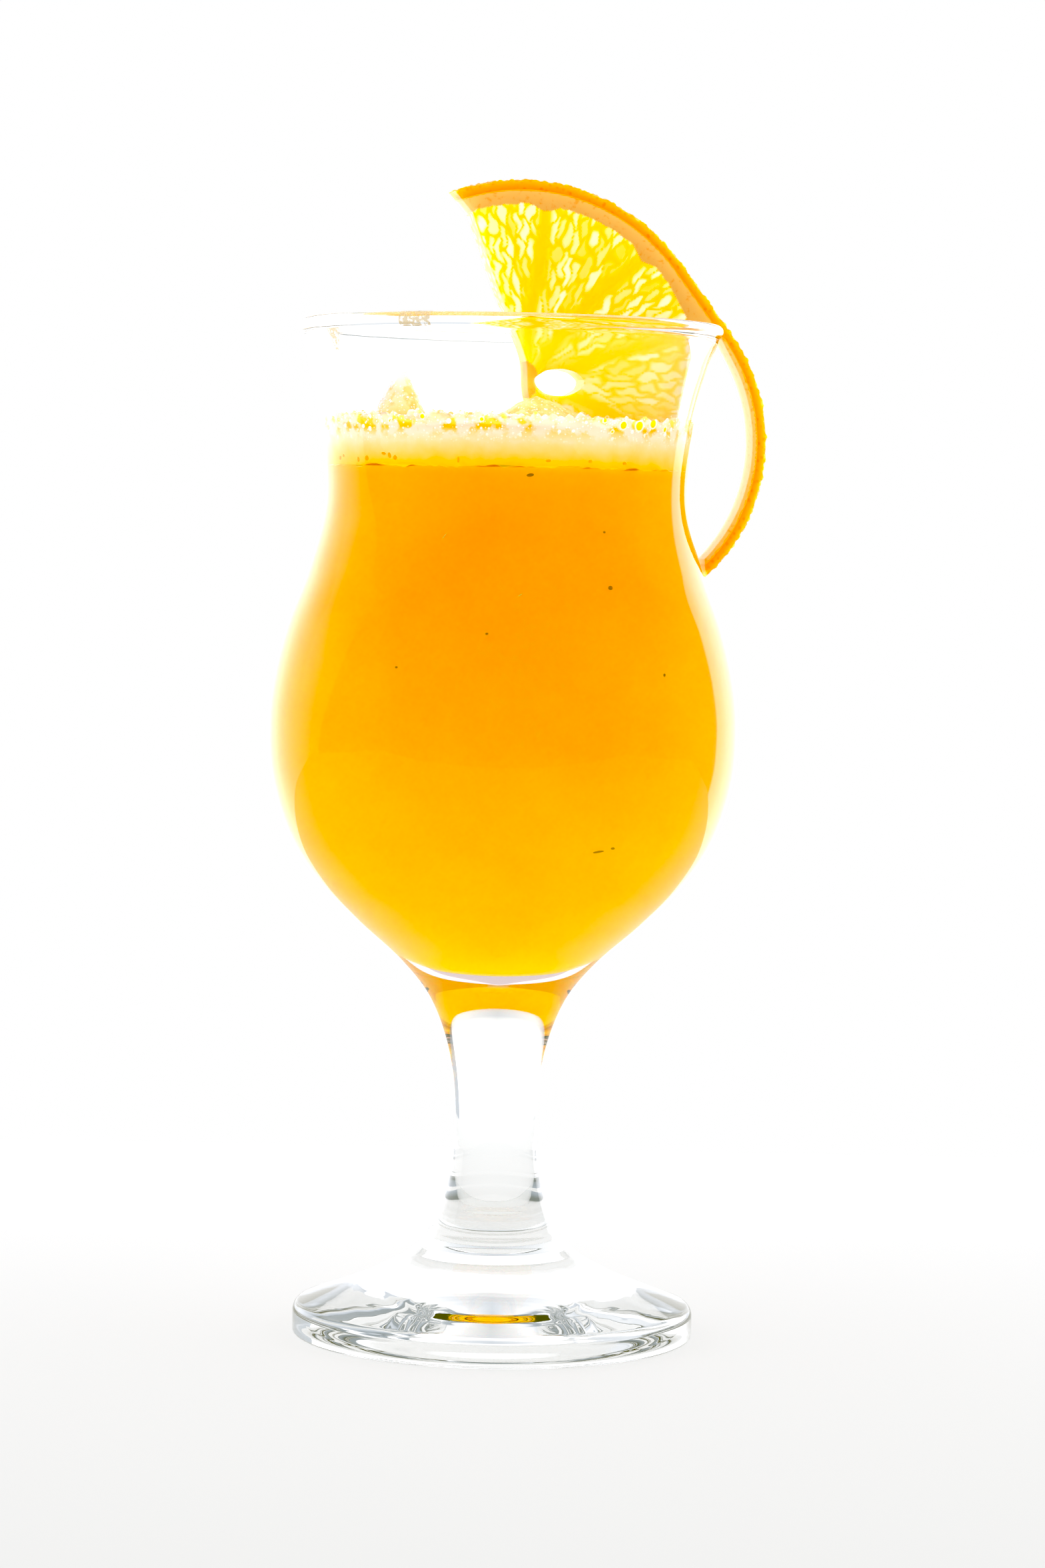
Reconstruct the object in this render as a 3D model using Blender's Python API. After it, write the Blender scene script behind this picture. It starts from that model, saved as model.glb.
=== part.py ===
"""Orange juice in a stemmed glass, with a foam head and half an orange slice hooked on the rim.

Metres, +Z up. The origin is the middle of the foot's flat underside, on the axis of the glass.
Lengths are written in millimetres times MM. Turned profiles are lists of (radius, height).
"""

import math

import bmesh
import bpy
import numpy as np
from mathutils import Vector, geometry, noise

MM = 0.001
GAP = 0.3 * MM
MERGE_DISTANCE = 0.01 * MM
SHARP_ANGLE = math.radians(35.0)

# Glass
SEGMENTS = 44
RIM_TOP = 180.5 * MM
BEAD_RADIUS = 1.25 * MM
BEAD_CENTRE_RADIUS = 36.55 * MM
FOOT_RADIUS = 35.8 * MM
FOOT_EDGE_TOP = 3.9 * MM
FOOT_TOP_ROUNDING = 1.9 * MM
FOOT_TOP_ROUNDING_END = math.radians(65.0)
FOOT_BOTTOM_ROUNDING = 0.6 * MM
BEAD_START = math.radians(-40.0)
BEAD_END = math.radians(200.0)
WALL_STEPS = 2
FOOT_TOP_STEPS = 3
FOOT_BOTTOM_STEPS = 2
BEAD_STEPS = 8

# The outer wall from the foot's edge up to the rim bead, through the stem, the belly and the waist
OUTER_STATIONS_MM = (
    (34.4, 5.75), (21.0, 11.1), (13.0, 16.3), (9.4, 23.3), (7.6, 31.5), (7.35, 40.0), (8.6, 50.5),
    (12.2, 60.2), (17.7, 67.0), (25.6, 73.9), (32.2, 80.6), (37.6, 88.7), (41.0, 99.0), (41.8, 109.1),
    (40.8, 118.0), (38.5, 127.0), (35.0, 136.5), (32.2, 148.5), (33.05, 160.0), (35.5, 172.6),
    (37.0, 178.0),
)
# The inner wall from its bottom on the axis up to the rim bead
INNER_STATIONS_MM = (
    (0.0, 67.3), (8.0, 69.3), (14.5, 74.0), (22.0, 80.6), (30.0, 87.2), (36.4, 94.6), (39.0, 102.2),
    (39.6, 109.5), (38.6, 118.0), (36.3, 126.8), (32.9, 136.4), (30.2, 148.5), (31.0, 160.0),
    (33.4, 172.6), (34.9, 178.0),
)

# Drink
JUICE_LEVEL = 154.6 * MM
FOAM_SEGMENTS = 60
FOAM_LEVEL = 162.0 * MM
FOAM_SIDE_ROWS = 3
FOAM_RINGS = 16
FOAM_CLIMB = 1.3 * MM
FOAM_CLIMB_WIDTH = 4.0 * MM
FOAM_BUMP = 0.6 * MM
FOAM_BUMP_SIZE = 3.4 * MM
FOAM_MOUND_POWER = 1.3
# Mounds on the foam: distance from the axis in millimetres, bearing in degrees, then height and
# radius in millimetres. The first is the peak that clings to the wall.
FOAM_MOUNDS = (
    (29.3, 132.0, 11.0, 6.5), (22.0, 252.0, 1.8, 5.0), (22.5, 276.0, 2.6, 5.5), (24.5, 204.0, 1.4, 5.0),
    (20.0, 228.0, 1.3, 4.5), (10.0, 114.0, 1.3, 6.0), (20.5, 48.0, 1.6, 5.5), (23.5, 324.0, 1.7, 5.5),
    (22.5, 108.0, 1.2, 5.0), (27.0, 168.0, 1.2, 5.0),
)
# The foam is drawn up against the slice beside its core
FOAM_BANK_CENTRE_MM = (5.0, -1.5)
FOAM_BANK_RISE = 6.0 * MM
FOAM_BANK_RADIUS = 11.0 * MM

# Orange slice: its plane stands on the axis of the glass and is turned about it by SLICE_TURN.
# In that plane, u runs outward from the axis and v upward.
SLICE_TURN = math.radians(14.0)
SLICE_CENTRE = (2.0 * MM, 168.9 * MM)
SLICE_THICKNESS = 5.6 * MM
SLICE_EDGE_BEVEL = 0.4 * MM
PEEL_RADIUS = 36.8 * MM
FLESH_RADIUS = 32.0 * MM
TIP_ANGLE = math.radians(111.0)
# The cut through the flesh, from its end in the juice past the core up to the peel
CUT_STATIONS_MM = ((16.2, 140.2), (9.0, 155.0), (3.2, 167.0), (2.2, 174.5), (-3.1, 186.8), (-7.8, 199.4))
# The peel is cut free from the flesh, runs straight over the rim and curls down outside the bowl
FREE_ANGLE = math.radians(38.2)
STRIP_RUN = 15.4 * MM
STRIP_RADIUS = 31.9 * MM
STRIP_END_ANGLE = math.radians(-48.5)
STRIP_THICKNESS = 2.7 * MM
STRIP_INNER_END = math.radians(-45.0)
STRIP_INNER_START = math.radians(29.0)
SLOT_TOP = RIM_TOP + 1.5 * GAP
WALL_CLEARANCE = 0.45 * MM
HOLE_CENTRE = (8.4 * MM, 170.2 * MM)
HOLE_SIZE = (4.5 * MM, 2.4 * MM)
OVER_BEAD_START = math.radians(-15.0)
OVER_BEAD_END = math.radians(50.0)
CUT_STEPS = 3
PEEL_STEPS = 24
STRIP_INNER_STEPS = 20
OVER_BEAD_STEPS = 4
FLESH_STEPS = 28
SLICE_SPACE_STEPS = 48
HOLE_STEPS = 20


def material(name, colour, roughness, transmission=0.0):
    """A Principled material with one colour."""
    made = bpy.data.materials.new(name)
    made.use_nodes = True
    shader = made.node_tree.nodes["Principled BSDF"]
    shader.inputs["Base Color"].default_value = (*colour, 1.0)
    shader.inputs["Roughness"].default_value = roughness
    shader.inputs["Metallic"].default_value = 0.0
    shader.inputs["Transmission Weight"].default_value = transmission
    return made


def smooth_curve(stations, steps):
    """Points on a smooth curve through the stations, with the given steps from each to the next."""
    knots = [Vector((r, z, 0.0)) for r, z in stations]
    last = len(knots) - 1
    tangents = [(knots[min(i + 1, last)] - knots[max(i - 1, 0)]).normalized() for i in range(last + 1)]
    points = [knots[0]]
    for i in range(last):
        reach = (knots[i + 1] - knots[i]).length / 3.0
        handle_a = knots[i] + tangents[i] * reach
        handle_b = knots[i + 1] - tangents[i + 1] * reach
        points += geometry.interpolate_bezier(knots[i], handle_a, handle_b, knots[i + 1], steps + 1)[1:]
    return [(p.x, p.y) for p in points]


def arc(centre, radius, start, end, steps):
    """Points on a circle's arc, both ends included."""
    angles = [start + (end - start) * i / steps for i in range(steps + 1)]
    return [(centre[0] + radius * math.cos(a), centre[1] + radius * math.sin(a)) for a in angles]


def in_metres(stations):
    """Stations given in millimetres, in metres."""
    return [(r * MM, z * MM) for r, z in stations]


def inner_wall():
    """The inside of the bowl, from its bottom on the axis up to the bead."""
    wall = smooth_curve(in_metres(INNER_STATIONS_MM), WALL_STEPS)
    return [(0.0, wall[0][1])] + wall[1:]


def wall_radius(height):
    """Inner radius of the bowl at a height."""
    wall = inner_wall()
    return float(np.interp(height, [z for r, z in wall], [r for r, z in wall]))


def add_object(name, mesh_builder, look):
    """A new object from a bmesh, with its faces turned outward and its round faces shaded smooth."""
    bmesh.ops.recalc_face_normals(mesh_builder, faces=mesh_builder.faces)
    mesh = bpy.data.meshes.new(name)
    mesh_builder.to_mesh(mesh)
    mesh_builder.free()
    mesh.shade_smooth()
    mesh.set_sharp_from_angle(angle=SHARP_ANGLE)
    made = bpy.data.objects.new(name, mesh)
    bpy.context.collection.objects.link(made)
    if look:
        made.data.materials.append(look)
    return made


def lathe(name, profile, look):
    """A solid turned about Z from a profile whose two ends are on the axis."""
    builder = bmesh.new()
    line = [builder.verts.new((r, 0.0, z)) for r, z in profile]
    edges = [builder.edges.new(pair) for pair in zip(line, line[1:])]
    bmesh.ops.spin(
        builder, geom=line + edges, cent=(0.0, 0.0, 0.0), axis=(0.0, 0.0, 1.0),
        angle=2.0 * math.pi, steps=SEGMENTS, use_merge=True,
    )
    bmesh.ops.remove_doubles(builder, verts=builder.verts, dist=MERGE_DISTANCE)
    return add_object(name, builder, look)


def make_glass(look):
    """Foot, solid stem, belly, waist and beaded rim, in one piece of glass."""
    foot_bottom = arc(
        (FOOT_RADIUS - FOOT_BOTTOM_ROUNDING, FOOT_BOTTOM_ROUNDING), FOOT_BOTTOM_ROUNDING,
        math.radians(-90.0), 0.0, FOOT_BOTTOM_STEPS,
    )
    foot_top = arc(
        (FOOT_RADIUS - FOOT_TOP_ROUNDING, FOOT_EDGE_TOP), FOOT_TOP_ROUNDING,
        0.0, FOOT_TOP_ROUNDING_END, FOOT_TOP_STEPS,
    )
    outer = smooth_curve(in_metres(OUTER_STATIONS_MM), WALL_STEPS)
    bead_centre = (BEAD_CENTRE_RADIUS, RIM_TOP - BEAD_RADIUS)
    bead = arc(bead_centre, BEAD_RADIUS, BEAD_START, BEAD_END, BEAD_STEPS)
    inner = inner_wall()[::-1]
    return lathe("glass", [(0.0, 0.0)] + foot_bottom + foot_top + outer + bead + inner, look)


def make_juice(look):
    """The drink up to its level, clear of the wall all round."""
    wall = inner_wall()
    side = [(wall_radius(z) - GAP, z + GAP) for r, z in wall[1:] if z + GAP < JUICE_LEVEL - 2.0 * GAP]
    bottom = (0.0, wall[0][1] + GAP)
    rim = (wall_radius(JUICE_LEVEL) - GAP, JUICE_LEVEL)
    return lathe("juice", [bottom] + side + [rim, (0.0, JUICE_LEVEL)], look)


def foam_height(x, y):
    """Height of the foam's uneven top: it climbs the wall, banks against the slice and has mounds."""
    edge = wall_radius(FOAM_LEVEL)
    climb = max(0.0, 1.0 - (edge - math.hypot(x, y)) / FOAM_CLIMB_WIDTH)
    height = FOAM_LEVEL + FOAM_CLIMB * climb ** 2
    for reach, bearing, rise, radius in FOAM_MOUNDS:
        mound_x = reach * MM * math.cos(math.radians(bearing))
        mound_y = reach * MM * math.sin(math.radians(bearing))
        distance = math.hypot(x - mound_x, y - mound_y) / (radius * MM)
        height += rise * MM * max(0.0, 1.0 - distance) ** FOAM_MOUND_POWER
    bank_x, bank_y = [value * MM for value in FOAM_BANK_CENTRE_MM]
    bank = max(0.0, 1.0 - math.hypot(x - bank_x, y - bank_y) / FOAM_BANK_RADIUS)
    grain = Vector((x, y, 0.0)) / FOAM_BUMP_SIZE
    return height + FOAM_BANK_RISE * bank + FOAM_BUMP * noise.noise(grain)


def make_foam(look):
    """The foam head on the juice: a level underside, a side along the wall and an uneven top."""
    builder = bmesh.new()
    bottom = JUICE_LEVEL + GAP
    edge = wall_radius(FOAM_LEVEL) - GAP
    turns = [2.0 * math.pi * step / FOAM_SEGMENTS for step in range(FOAM_SEGMENTS)]
    rings = []
    for row in range(FOAM_SIDE_ROWS):
        ring = []
        for turn in turns:
            top = foam_height(edge * math.cos(turn), edge * math.sin(turn))
            z = bottom + (top - bottom) * row / FOAM_SIDE_ROWS
            radius = wall_radius(z) - GAP
            ring.append(builder.verts.new((radius * math.cos(turn), radius * math.sin(turn), z)))
        rings.append(ring)
    for row in range(FOAM_RINGS):
        radius = edge * (1.0 - row / FOAM_RINGS)
        places = [(radius * math.cos(turn), radius * math.sin(turn)) for turn in turns]
        rings.append([builder.verts.new((x, y, foam_height(x, y))) for x, y in places])
    for low, high in zip(rings, rings[1:]):
        for step in range(FOAM_SEGMENTS):
            after = (step + 1) % FOAM_SEGMENTS
            builder.faces.new((low[step], low[after], high[after], high[step]))
    middle = builder.verts.new((0.0, 0.0, foam_height(0.0, 0.0)))
    for step in range(FOAM_SEGMENTS):
        builder.faces.new((rings[-1][step], rings[-1][(step + 1) % FOAM_SEGMENTS], middle))
    builder.faces.new(rings[0][::-1])
    return add_object("foam", builder, look)


def cut_edge(grow):
    """The slice's cut from its low end past the core up to the peel, moved outward by grow."""
    line = [Vector(p) for p in smooth_curve(in_metres(CUT_STATIONS_MM), CUT_STEPS)]
    last = len(line) - 1
    moved = []
    for i, place in enumerate(line):
        along = (line[min(i + 1, last)] - line[max(i - 1, 0)]).normalized()
        moved.append((place.x - along.y * grow, place.y + along.x * grow))
    return moved


def low_end_angle():
    """Angle about the slice's centre of the cut's low end."""
    low_u, low_v = in_metres(CUT_STATIONS_MM)[0]
    return math.atan2(low_v - SLICE_CENTRE[1], low_u - SLICE_CENTRE[0])


def strip_centre():
    """Centre of the free strip's arc, which carries on smoothly from the peel's straight run."""
    shrink = PEEL_RADIUS - STRIP_RADIUS
    return (
        SLICE_CENTRE[0] + STRIP_RUN * math.sin(FREE_ANGLE) + shrink * math.cos(FREE_ANGLE),
        SLICE_CENTRE[1] - STRIP_RUN * math.cos(FREE_ANGLE) + shrink * math.sin(FREE_ANGLE),
    )


def slice_outline(grow):
    """The slice seen face on, clockwise from its tip: peel, free strip, slot for the wall, flesh, cut."""
    centre = strip_centre()
    peel = arc(SLICE_CENTRE, PEEL_RADIUS + grow, TIP_ANGLE, FREE_ANGLE, PEEL_STEPS)
    strip_out = arc(centre, STRIP_RADIUS + grow, FREE_ANGLE, STRIP_END_ANGLE, PEEL_STEPS)
    strip_in = arc(
        centre, STRIP_RADIUS - STRIP_THICKNESS - grow, STRIP_INNER_END, STRIP_INNER_START, STRIP_INNER_STEPS,
    )
    bead_centre = (BEAD_CENTRE_RADIUS, RIM_TOP - BEAD_RADIUS)
    over_bead = arc(
        bead_centre, BEAD_RADIUS + WALL_CLEARANCE - grow, OVER_BEAD_START, OVER_BEAD_END, OVER_BEAD_STEPS,
    )
    top = SLOT_TOP + grow
    slot_outer = (over_bead[-1][0] - grow, top)
    slot_angle = math.asin((top - SLICE_CENTRE[1]) / (FLESH_RADIUS + grow))
    flesh = []
    for u, v in arc(SLICE_CENTRE, FLESH_RADIUS + grow, slot_angle, low_end_angle(), FLESH_STEPS):
        flesh.append((min(u, wall_radius(v) - WALL_CLEARANCE + grow), v))
    return peel + strip_out[1:] + strip_in + over_bead + [slot_outer] + flesh[:-1] + cut_edge(grow)


def plate(name, rows, look):
    """A flat piece in the slice's plane from outlines at rising depths, closed front and back."""
    builder = bmesh.new()
    loops = [[builder.verts.new((u, depth, v)) for u, v in outline] for depth, outline in rows]
    for near, far in zip(loops, loops[1:]):
        for i in range(len(near)):
            after = (i + 1) % len(near)
            builder.faces.new((near[i], near[after], far[after], far[i]))
    builder.faces.new(loops[0])
    builder.faces.new(loops[-1][::-1])
    made = add_object(name, builder, look)
    made.rotation_euler.z = SLICE_TURN
    return made


def cut_away(target, cutter):
    """Cuts the cutter's shape out of the target and hides the cutter."""
    cut = target.modifiers.new("Cut " + cutter.name, "BOOLEAN")
    cut.operation = "DIFFERENCE"
    cut.solver = "EXACT"
    cut.object = cutter
    cutter.hide_render = True
    cutter.display_type = "WIRE"


def make_slice_space():
    """The room that the slice takes up in the drink, wider than the slice by the gap all round."""
    round_side = arc(
        SLICE_CENTRE, FLESH_RADIUS + 2.0 * GAP, TIP_ANGLE, low_end_angle(), SLICE_SPACE_STEPS,
    )
    outline = round_side + cut_edge(GAP)
    depth = SLICE_THICKNESS / 2.0 + GAP
    return plate("slice_space", [(-depth, outline), (depth, outline)], None)


def make_hole_cutter():
    """An oval rod through the hole beside the slice's core."""
    outline = []
    for step in range(HOLE_STEPS):
        angle = -2.0 * math.pi * step / HOLE_STEPS
        outline.append((HOLE_CENTRE[0] + HOLE_SIZE[0] * math.cos(angle),
                        HOLE_CENTRE[1] + HOLE_SIZE[1] * math.sin(angle)))
    return plate("hole_cutter", [(-SLICE_THICKNESS, outline), (SLICE_THICKNESS, outline)], None)


def make_orange_slice(look):
    """Half a slice of orange with its peel, its outer edges slightly bevelled."""
    half = SLICE_THICKNESS / 2.0
    full = slice_outline(0.0)
    inset = slice_outline(-SLICE_EDGE_BEVEL)
    rows = [(-half, inset), (SLICE_EDGE_BEVEL - half, full), (half - SLICE_EDGE_BEVEL, full), (half, inset)]
    return plate("orange_slice", rows, look)


def main():
    for old in list(bpy.data.objects):
        bpy.data.objects.remove(old, do_unlink=True)
    make_glass(material("Clear glass", (0.95, 0.97, 0.97), 0.02, transmission=1.0))
    juice = make_juice(material("Orange juice", (0.95, 0.42, 0.01), 0.15))
    foam = make_foam(material("Juice foam", (0.98, 0.80, 0.40), 0.55))
    orange_slice = make_orange_slice(material("Orange slice", (0.96, 0.62, 0.05), 0.4))
    slice_space = make_slice_space()
    cut_away(juice, slice_space)
    cut_away(foam, slice_space)
    cut_away(orange_slice, make_hole_cutter())


main()
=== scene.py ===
"""The looks of a glass of orange juice with a foam head and half an orange slice on its rim.

Metres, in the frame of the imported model: +Z up, the foot's flat underside at height 0.
Lengths are written in millimetres times MM. Turned profiles are lists of (radius, height).
"""

from math import asin, atan2, ceil, cos, hypot, pi, radians, sin, sqrt

import bmesh
import bpy
import numpy as np
from mathutils import Euler, Matrix, Vector, geometry, noise


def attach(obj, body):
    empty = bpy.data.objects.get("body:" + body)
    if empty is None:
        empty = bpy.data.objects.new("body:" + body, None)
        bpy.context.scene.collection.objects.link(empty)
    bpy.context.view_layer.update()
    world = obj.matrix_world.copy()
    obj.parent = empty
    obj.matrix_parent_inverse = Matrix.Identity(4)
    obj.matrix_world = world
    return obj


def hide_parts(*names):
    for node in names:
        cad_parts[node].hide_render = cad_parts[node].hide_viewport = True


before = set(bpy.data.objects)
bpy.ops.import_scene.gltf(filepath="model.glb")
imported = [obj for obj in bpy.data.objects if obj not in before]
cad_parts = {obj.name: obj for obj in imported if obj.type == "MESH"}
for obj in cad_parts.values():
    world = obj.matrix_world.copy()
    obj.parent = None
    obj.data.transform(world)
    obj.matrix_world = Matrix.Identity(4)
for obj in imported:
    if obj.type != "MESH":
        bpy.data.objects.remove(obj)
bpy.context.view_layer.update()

MM = 0.001

# Camera: the photograph's viewpoint
CAMERA_PLACE = Vector((3.67, -777.2, 143.2)) * MM
CAMERA_PITCH = radians(-3.284)
CAMERA_ROLL = radians(1.098)
CAMERA_LENS = 100.26
CAMERA_SENSOR = 36
CAMERA_CLIP = (0.05, 50)
# A camera renders deep oranges with no blue at all
BLUE_CUT = 0.09

# Floor: it glows a little, more towards the back, and by FLOOR_BOUNCE times as much where its light
# falls on other things
FLOOR_DROP = 0.05 * MM
FLOOR_FRONT = -0.52
FLOOR_BACK = 0.234
FLOOR_HALF_WIDTH = 0.9
FLOOR_GREY = (0.1, 0.1, 0.1)
FLOOR_GLOW_START = -0.3
FLOOR_GLOW_FRONT = 0.66
FLOOR_GLOW_BACK = 0.86
FLOOR_BOUNCE = 2.1

# Light round the glass, as what clear glass shows and as what lights the things that scatter it: (bearing
# in degrees from straight behind the glass, clockwise seen from above, and brightness), in order. It
# blends from each to the next.
LIGHT_IN_GLASS = (
    (-180, 0.42), (-80, 0.42), (-79, 1.1), (-67, 1.35), (-47, 1.9), (-33, 2.4), (-18, 2.05),
    (0, 1.65), (18, 2.05), (38, 2.6), (51, 2.3), (52, 0.7), (89, 0.7), (90, 0.5),
    (118, 0.5), (119, 0.42), (180, 0.42),
)
LIGHT_THROUGH_DRINK = (
    (-180, 0.62), (-145, 0.66), (-125, 2.1), (-100, 2.6), (-60, 2.6), (-30, 1.9), (0, 1.7),
    (30, 1.9), (60, 2.6), (100, 2.5), (125, 2), (145, 0.66), (180, 0.62),
)
# The share of the light that thick glass picks up from high above, where it starts to fall off and
# where it has fallen off, in degrees upward
CEILING_LIGHT = 0.48
CEILING_START = 13
CEILING_FULL = 27
# Colour of the dim light from the room, against the white of the lit places
DIM_LIGHT = (0.84, 0.96, 1.16)
# Between these brightnesses the light turns from the dim colour to white
DIM_TO_LIT = (0.4, 1.1)
# The left reflector's front edge leans forward: it has the bearings under LEFT_REFLECTOR, and for each
# degree upward from LEAN_START it moves by REFLECTOR_LEAN degrees of bearing
LEFT_REFLECTOR = -60
LEAN_START = -5
REFLECTOR_LEAN = 0.45

WHITE = (1, 1, 1)
# Points are worked on in batches of this many, to save memory
BATCH = 2000
# Edges sharper than this are drawn sharp
SHARP_ANGLE = radians(50)

# Glass, as in the solid model
RIM_TOP = 180.5 * MM
BEAD_RADIUS = 1.25 * MM
BEAD_CENTRE_RADIUS = 36.55 * MM
BEAD_ARC = (radians(-40), radians(200), 20)
FOOT_RADIUS = 35.8 * MM
FOOT_EDGE_TOP = 3.9 * MM
FOOT_TOP_ROUNDING = 1.9 * MM
FOOT_TOP_ARC = (0, radians(65), 10)
FOOT_BOTTOM_ROUNDING = 0.6 * MM
FOOT_BOTTOM_ARC = (radians(-90), 0, 6)
OUTER_STATIONS_MM = (
    (34.4, 5.75), (21, 11.1), (13, 16.3), (9.4, 23.3), (7.6, 31.5), (7.35, 40), (8.6, 50.5),
    (12.2, 60.2), (17.7, 67), (25.6, 73.9), (32.2, 80.6), (37.6, 88.7), (41, 99), (41.8, 109.1),
    (40.8, 118), (38.5, 127), (35, 136.5), (32.2, 148.5), (33.05, 160), (35.5, 172.6),
    (37, 178),
)
INNER_STATIONS_MM = (
    (0, 67.3), (8, 69.3), (14.5, 74), (22, 80.6), (30, 87.2), (36.4, 94.6), (39, 102.2),
    (39.6, 109.5), (38.6, 118), (36.3, 126.8), (32.9, 136.4), (30.2, 148.5), (31, 160),
    (33.4, 172.6), (34.9, 178),
)
# Fine moulded rings at the bottom of the stem: heights, and how far and wide each stands out
RING_HEIGHTS = (15.2 * MM, 16.9 * MM, 18.6 * MM)
RING_RELIEF = 0.22 * MM
RING_WIDTH = 0.55 * MM
# The shallow hollow in the foot's underside, and the ripples of its top
HOLLOW_STATIONS_MM = ((0, 1.1), (10, 1), (17, 0.6), (20.5, 0.12), (22.5, 0))
RIPPLE = 0.04 * MM
RIPPLE_ACROSS = 2.4 * MM
RIPPLE_ALONG = 9 * MM
RIPPLE_BOTTOM = 3 * MM
RIPPLE_TOP = 14 * MM
RIPPLE_START = 12 * MM
CURVE_STEPS = 12
GLASS_SEGMENTS = 200
GLASS_COLOUR = (0.985, 0.995, 0.99)
GLASS_IOR = 1.5

# Drink
JUICE_LEVEL = 154.6 * MM
LAYER_WAVE = 0.45 * MM
LAYER_WAVE_SIZE = 5 * MM
LAYER_WAVE_WIDTH = 3 * MM
JUICE_SEGMENTS = 360
# Drink and foam reach this far into the wall, so that no gap shows
INTO_WALL = 0.15 * MM
JUICE_COLOURS = ((1, 0.37, 0), (1, 0.41, 0))
JUICE_CLOUDS = 14 * MM
JUICE_SCATTER_RADII = (2.2, 0.6, 0.1)
JUICE_SCATTER = 0.22
# The reflection where thick glass meets the drink: the drink's index of refraction over the glass's, and
# its colour
DRINK_TO_GLASS = 0.89
BORDER_MIRROR = (0.8, 0.66, 0.7)
# The hidden faces between drink and foam give off the light that would come through from the other layer
LIGHT_FROM_FOAM = (1, 0.62, 0.06)
LIGHT_FROM_JUICE = (1, 0.42, 0)
LAYER_LIGHT = 1.2

# Foam
FOAM_LEVEL = 162 * MM
FOAM_CLIMB = 1.3 * MM
FOAM_CLIMB_WIDTH = 4 * MM
FOAM_BUMP = 0.6 * MM
FOAM_BUMP_SIZE = 3.4 * MM
FOAM_MOUND_POWER = 1.3
# Mounds on the foam: distance from the axis in millimetres, bearing in degrees, then height and
# radius in millimetres. The first is the peak that clings to the wall.
FOAM_MOUNDS = (
    (29.3, 132, 11, 6.5), (22, 252, 1.8, 5), (22.5, 276, 2.6, 5.5), (24.5, 204, 1.4, 5),
    (20, 228, 1.3, 4.5), (10, 114, 1.3, 6), (20.5, 48, 1.6, 5.5), (23.5, 324, 1.7, 5.5),
    (22.5, 108, 1.2, 5), (27, 168, 1.2, 5),
)
FOAM_BANK_CENTRE_MM = (5, -1.5)
FOAM_BANK_RISE = 6 * MM
FOAM_BANK_RADIUS = 11 * MM
FOAM_FRONT_TURNS = 480
FOAM_BACK_TURNS = 160
FOAM_RINGS = 84
FOAM_RING_POWER = 1.4
FOAM_SIDE_ROWS = 26
FOAM_GRAIN = 0.22 * MM
FOAM_GRAIN_SIZE = 0.9 * MM
FOAM_EDGE_GRAIN = 0.8 * MM
FOAM_EDGE_GRAIN_SIZE = 1.7 * MM
FOAM_EDGE_GRAIN_WIDTH = 3 * MM
DOME_RADIUS = 0.6
FOAM_LIFT = 0.05 * MM
# The foam's colour and how far light scatters in it, by height: 0 at its bottom, 1 at FOAM_RISE_TOP
FOAM_RISE_TOP = FOAM_LEVEL + 2 * MM
# Painted light: low down the foam is coloured golden with the drink's light that shines up through it
FOAM_COLOURS = (
    (0, (1, 0.28, 0)), (0.06, (1, 0.33, 0.02)), (0.2, (1, 0.36, 0.09)), (0.4, (1, 0.43, 0.22)),
    (0.6, (1, 0.52, 0.42)), (0.75, (1, 0.5, 0.38)), (0.9, (1, 0.45, 0.2)), (1, (1, 0.44, 0.14)),
)
FOAM_SCATTER = ((0, 0.16), (0.5, 0.11), (0.72, 0.03), (1, 0.004))
FOAM_SCATTER_RADII = (1.3, 1, 0.8)
FOAM_UNEVEN = 0.16
FOAM_UNEVEN_SIZE = 2.6 * MM
FOAM_PEAK_COLOUR = (1, 0.66, 0.36)
PEAK_SCATTER = 0.03
FOAM_TOP_COLOUR = (1, 0.56, 0.22)
# Deep patches in the upper part, fewer on the top
FOAM_DEEP_COLOUR = (1, 0.31, 0.01)
FOAM_DEEP_SIZE = 2.4 * MM
FEWER_ON_TOP = 0.6
# White dots painted as the glints of the bubbles in the froth: size of a cell, share of the cells that have
# one, and how much of its cell the largest fills
FINE_DOTS = (0.45 * MM, 0.6, 0.5)
FINE_DOTS_STRENGTH = 0.6
LARGE_DOTS = (1.1 * MM, 0.45, 0.45)
# Large yellow hollows in the foam against the front wall: bearing in degrees, height in millimetres
# and radius in millimetres
FOAM_HOLLOWS = (
    (308, 162.2, 0.9), (314.5, 162.2, 1.1), (320.5, 162.7, 1), (301, 162.9, 0.5), (304, 161, 0.4),
    (327, 161.8, 0.6), (262, 162.6, 0.5), (243, 163, 0.6), (231, 162.3, 0.4),
)
HOLLOW_RIM_COLOUR = (1, 0.85, 0.6)
HOLLOW_COLOUR = (1, 0.42, 0)

# Clear bubbles on the foam: how many, their radii, and how much lower or higher those on the edge are
BUBBLES_ON_EDGE = 130
BUBBLES_ON_MOUND = 40
BUBBLES_ON_TOP = 200
BUBBLE_SIZES = (0.12 * MM, 0.6 * MM)
BUBBLE_LIFT = (-0.6, 0.5)
BUBBLE_COLOUR = (1, 0.95, 0.78)
BUBBLE_IOR = 1.2
BALL_DETAIL = 2

# Dried smears. On the rim: first and last bearing, then lowest and highest angle round the bead, in degrees.
# On the wall under it: first and last bearing in degrees, then lowest and highest place in millimetres.
RIM_SMEARS = ((240, 249, -80, 100),)
WALL_SMEARS = ((211, 217.5, 174.2, 178),)
SMEAR_STEP = 0.5
SMEAR_ROWS = 24
SMEAR_LIFT = 0.03 * MM
SMEAR_COVER = 0.85
SMEAR_COLOUR = (0.58, 0.44, 0.26)

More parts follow.
